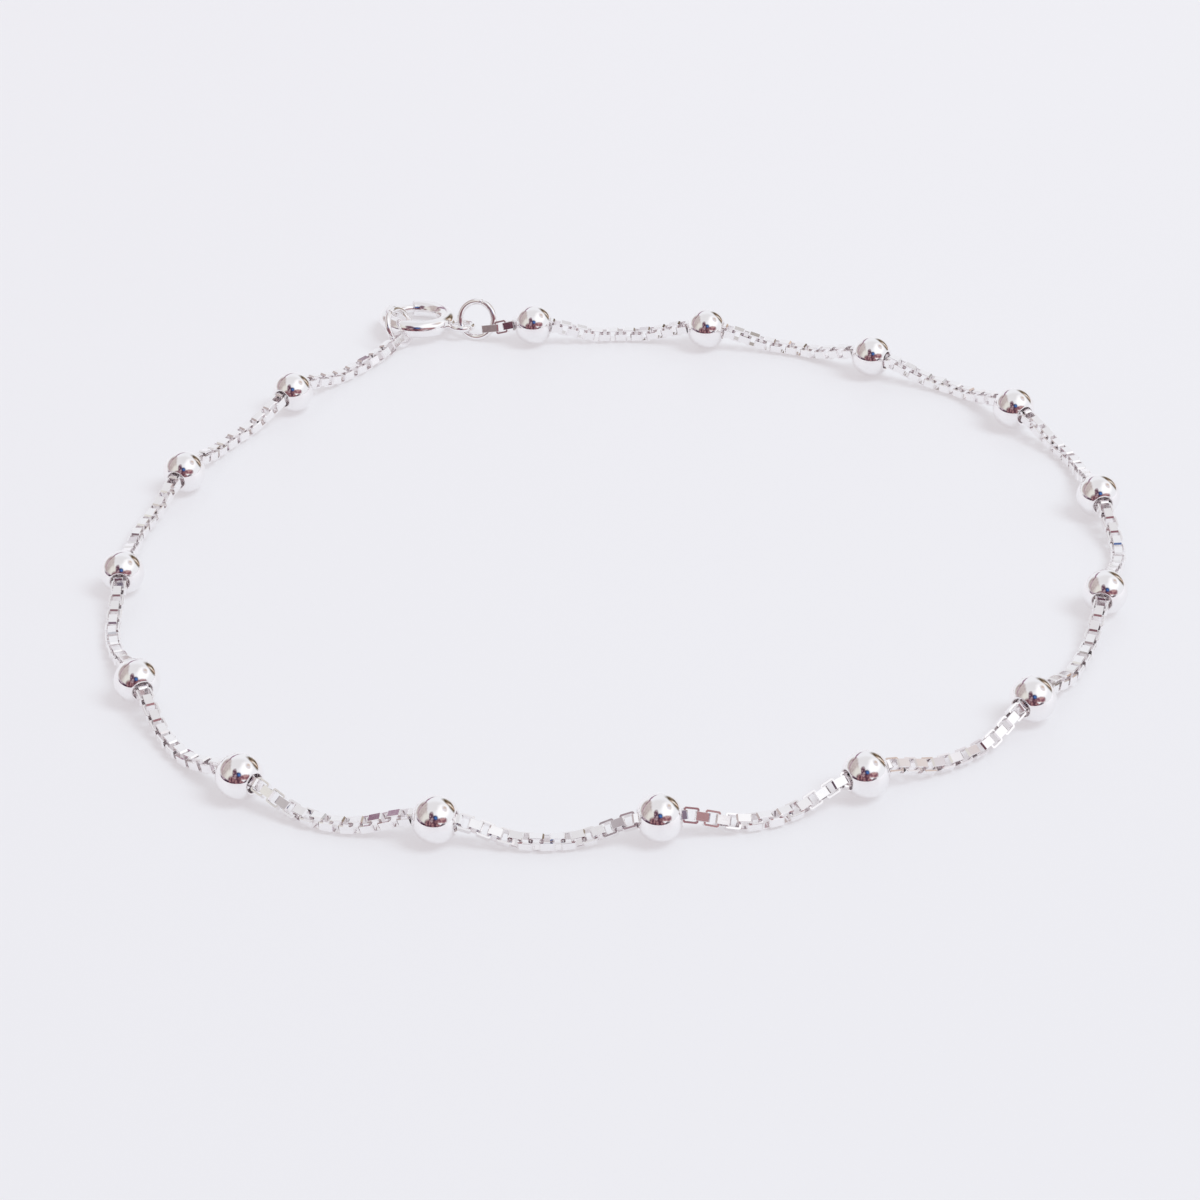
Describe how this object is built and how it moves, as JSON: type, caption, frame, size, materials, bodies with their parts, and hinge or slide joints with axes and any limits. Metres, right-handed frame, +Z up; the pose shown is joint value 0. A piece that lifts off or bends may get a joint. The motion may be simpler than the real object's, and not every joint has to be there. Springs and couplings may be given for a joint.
{
  "type": "chain bracelet",
  "caption": "Silver bracelet: round polished beads spaced along a fine box chain, closed by a spring-ring clasp.",
  "frame": {"origin": "middle of the loop's footprint, on the surface that the bracelet lies on", "axes": "+Z up, square to the loop; -Y towards the front of the loop, with the clasp at the back, +Y"},
  "size_m": [0.0584, 0.0598, 0.0025],
  "materials": {
    "bead_silver": "mirror polished",
    "chain_silver": "polished strip",
    "clasp_silver": "polished"
  },
  "bodies": {
    "root": {"bead_01": "bead_silver", "bead_02": "bead_silver", "bead_03": "bead_silver", "bead_04": "bead_silver", "bead_05": "bead_silver", "bead_06": "bead_silver", "bead_07": "bead_silver", "bead_08": "bead_silver", "bead_09": "bead_silver", "bead_10": "bead_silver", "bead_11": "bead_silver", "bead_12": "bead_silver", "bead_13": "bead_silver", "bead_14": "bead_silver", "bead_15": "bead_silver", "chain_left": "chain_silver", "chain_right": "chain_silver", "clasp_ring": "clasp_silver", "jump_ring_left": "clasp_silver", "jump_ring_right": "clasp_silver"},
    "bolt": {"clasp_bolt": "clasp_silver"}
  },
  "joints": [
    {"name": "clasp_bolt_slide", "type": "hinge", "parent": "root", "child": "bolt", "pos_m": [-0.0122, 0.027, 0.00083], "axis": [-0.067, -0.1259, -0.9898], "range_deg": [0, 56], "stiffness_Nm_per_rad": 0.0012, "springref_deg": -8.59}
  ]
}
